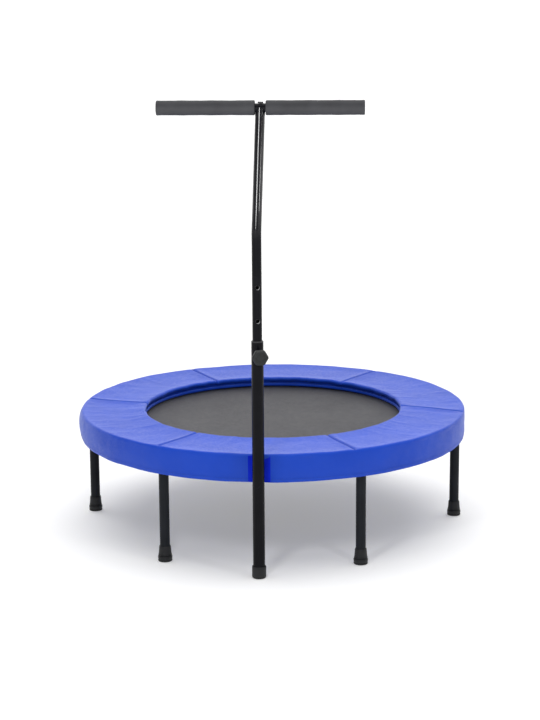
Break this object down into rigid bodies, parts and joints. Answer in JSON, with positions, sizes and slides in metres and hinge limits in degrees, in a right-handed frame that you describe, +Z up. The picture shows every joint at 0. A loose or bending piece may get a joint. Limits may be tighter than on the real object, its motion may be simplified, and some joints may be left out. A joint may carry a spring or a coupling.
{
  "type": "mini trampoline",
  "caption": "Mini trampoline with a padded steel ring, a sprung mat, upright legs and a height-adjustable T-bar handle on a post.",
  "frame": {"origin": "on the floor, on the axis of the round frame, under the middle of the mat", "axes": "+Z up, -Y towards the post and its handle, +X to the right of someone who faces the trampoline from the post's side"},
  "size_m": [1.02, 1.0957, 1.14],
  "materials": {
    "cover_fabric": "matte",
    "pad_foam": "matte",
    "mat_fabric": "matte",
    "webbing": "matte",
    "black_steel": "satin",
    "zinc_steel": "satin",
    "black_rubber": "matte",
    "knob_plastic": "matte",
    "black_plastic": "satin",
    "grip_foam": "matte"
  },
  "bodies": {
    "frame": {"springs": "zinc_steel", "ring_front": "black_steel", "ring_rear": "black_steel", "ring_sleeves": "black_steel", "ring_screws": "zinc_steel", "leg_bosses": "black_steel", "leg_1": "black_steel", "leg_2": "black_steel", "leg_3": "black_steel", "leg_4": "black_steel", "leg_5": "black_steel", "leg_6": "black_steel", "leg_plugs": "black_plastic", "foot_1": "black_rubber", "foot_2": "black_rubber", "foot_3": "black_rubber", "foot_4": "black_rubber", "foot_5": "black_rubber", "foot_6": "black_rubber", "panel_1": "cover_fabric", "panel_2": "cover_fabric", "panel_3": "cover_fabric", "panel_4": "cover_fabric", "panel_5": "cover_fabric", "panel_6": "cover_fabric", "pad_foam": "pad_foam", "pad_piping": "cover_fabric", "pad_straps": "webbing", "post": "black_steel", "post_cap": "black_rubber", "post_bush": "black_plastic", "post_bracket": "black_steel", "bracket_bolts": "zinc_steel", "bracket_washers": "zinc_steel", "clamp_boss": "black_steel"},
    "mat": {"mat": "mat_fabric", "mat_hem": "webbing", "mat_tabs": "webbing", "v_rings": "zinc_steel"},
    "handle": {"handle_tube": "black_steel", "height_inserts": "zinc_steel", "handle_glide": "black_plastic", "handle_top_plug": "zinc_steel", "crossbar": "black_steel", "crossbar_caps": "black_plastic", "crossbar_bolt": "zinc_steel", "grip_left": "grip_foam", "grip_right": "grip_foam"},
    "clamp_screw": {"clamp_screw": "zinc_steel"},
    "clamp_knob": {"clamp_knob": "knob_plastic"}
  },
  "joints": [
    {"name": "mat_bounce", "type": "slide", "parent": "frame", "child": "mat", "axis": [0, 0, 1], "range_m": [-0.08, 0], "stiffness_N_per_m": 8000, "springref_m": 0.004, "deforming": ["springs"]},
    {"name": "handle_slide", "type": "slide", "parent": "frame", "child": "handle", "axis": [0, 0, 1], "range_m": [-0.16, 0]},
    {"name": "clamp_screw_travel", "type": "slide", "parent": "frame", "child": "clamp_screw", "axis": [0.2419, -0.9703, 0], "range_m": [0, 0.00375]},
    {"name": "clamp_knob_turn", "type": "hinge", "parent": "clamp_screw", "child": "clamp_knob", "pos_m": [0.00726, -0.56511, 0.55], "axis": [0.2419, -0.9703, 0], "range_deg": [0, 1080]}
  ],
  "couplings": [
    {"joint": "clamp_screw_travel", "follows": "clamp_knob_turn", "m_per_rad": 0.00019894}
  ]
}
